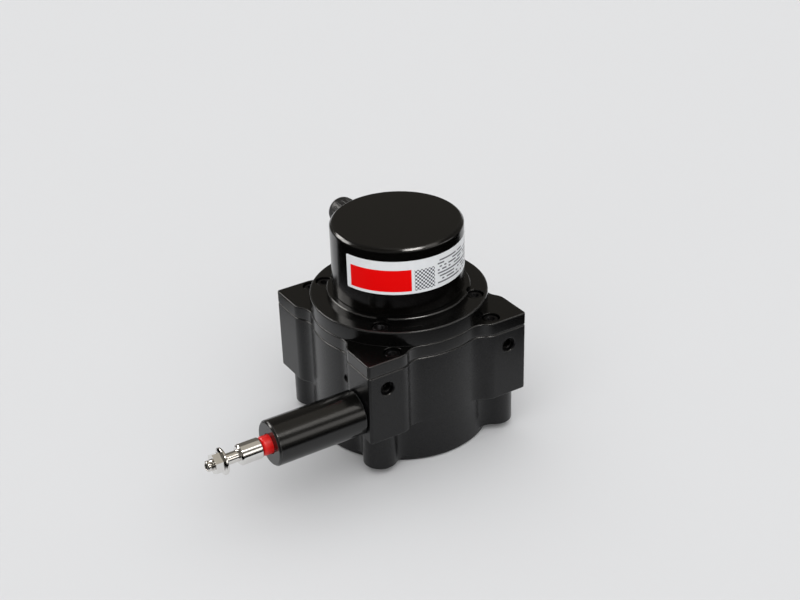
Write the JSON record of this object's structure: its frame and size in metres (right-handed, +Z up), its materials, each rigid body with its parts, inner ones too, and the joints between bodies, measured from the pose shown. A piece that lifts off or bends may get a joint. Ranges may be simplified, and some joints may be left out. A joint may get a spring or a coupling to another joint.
{
  "type": "draw wire encoder",
  "caption": "Draw wire encoder: spring-wound wire drum in a square housing turning a rotary encoder on top, with a nozzle tube, a rubber buffer and a threaded wire end.",
  "frame": {"origin": "on the drum axis, in the plane of the housing's bottom face", "axes": "+Z up along the drum and encoder axis; the wire leaves along -X; the face with the two tapped side holes looks along -Y; the cable gland points along +Y"},
  "size_m": [0.1505, 0.0909, 0.0987],
  "materials": {
    "housing_black": "black anodised, satin",
    "cover_black": "black anodised, satin, milled edges",
    "flange_black": "black anodised, turned",
    "base_black": "black anodised, turned",
    "can_black": "black anodised, turned, semi-gloss",
    "nozzle_black": "black anodised, turned, semi-gloss",
    "gasket_rubber": "black flat gasket",
    "seal_rubber": "black O-ring",
    "gland_seal_rubber": "black seal bush",
    "buffer_red": "red moulded rubber",
    "felt_white": "pressed felt",
    "screw_black": "black oxide steel",
    "set_screw_steel": "plain steel",
    "inner_screw_steel": "zinc plated steel",
    "bearing_steel": "ground bearing steel",
    "ball_steel": "polished bearing steel",
    "spring_steel": "blued spring strip",
    "plate_steel": "zinc plated sheet",
    "bare_aluminium": "turned, plain",
    "shaft_steel": "ground steel",
    "wire_steel": "fine stranded stainless steel",
    "guide_brass": "turned, polished mouth",
    "nickel": "nickel plated, turned",
    "disc_glass": "clear disc with etched track",
    "component_black": "moulded electronic parts",
    "board_green": "green circuit board laminate",
    "post_brass": "turned brass",
    "gland_plastic": "black moulded polyamide",
    "label_white": "printed polyester film"
  },
  "bodies": {
    "housing": {"housing": "housing_black", "cover_gasket": "gasket_rubber", "cover_plate": "cover_black", "cover_screws": "screw_black", "adapter_flange": "flange_black", "flange_screws": "screw_black", "side_set_screw": "set_screw_steel", "drum_bearing_outers": "bearing_steel", "power_spring": "spring_steel", "spring_cover": "plate_steel", "spring_cover_screws": "inner_screw_steel", "nozzle_tube": "nozzle_black", "guide_bush": "guide_brass", "wiper_felt": "felt_white", "buffer": "buffer_red", "encoder_base": "base_black", "encoder_mount_screws": "inner_screw_steel", "encoder_bearing_outers": "bearing_steel", "read_head": "component_black", "circuit_board": "board_green", "board_components": "component_black", "board_posts": "post_brass", "board_screws": "inner_screw_steel", "encoder_seal": "seal_rubber", "encoder_cover": "can_black", "gland_body": "gland_plastic", "gland_seal": "gland_seal_rubber", "gland_nut": "gland_plastic", "label": "label_white"},
    "drum": {"cable_drum": "bare_aluminium", "drum_shaft": "shaft_steel", "drum_pin": "shaft_steel", "clamp_ring": "bare_aluminium", "clamp_screw": "inner_screw_steel", "bearing_spacer": "shaft_steel", "spring_arbor": "bare_aluminium", "drum_bearing_inners": "bearing_steel", "drum_bearing_balls": "ball_steel", "wound_wire": "wire_steel", "encoder_shaft": "shaft_steel", "disc_hub": "bare_aluminium", "code_disc": "disc_glass", "disc_clamp": "bare_aluminium", "encoder_bearing_inners": "bearing_steel", "encoder_bearing_balls": "ball_steel"},
    "wire_end": {"wire_run": "wire_steel", "ferrule": "nickel", "end_stud": "nickel", "flange_nut": "nickel"}
  },
  "joints": [
    {"name": "wire_pull", "type": "slide", "parent": "housing", "child": "wire_end", "axis": [-1, 0, 0], "range_m": [0, 2]},
    {"name": "drum_spin", "type": "hinge", "parent": "housing", "child": "drum", "pos_m": [0, 0, 0.0305], "axis": [0, 0, -1], "range_deg": [0, 4000], "stiffness_Nm_per_rad": 0.0008, "springref_deg": -6130.65}
  ],
  "couplings": [
    {"joint": "drum_spin", "follows": "wire_pull", "rad_per_m": 34.904}
  ]
}
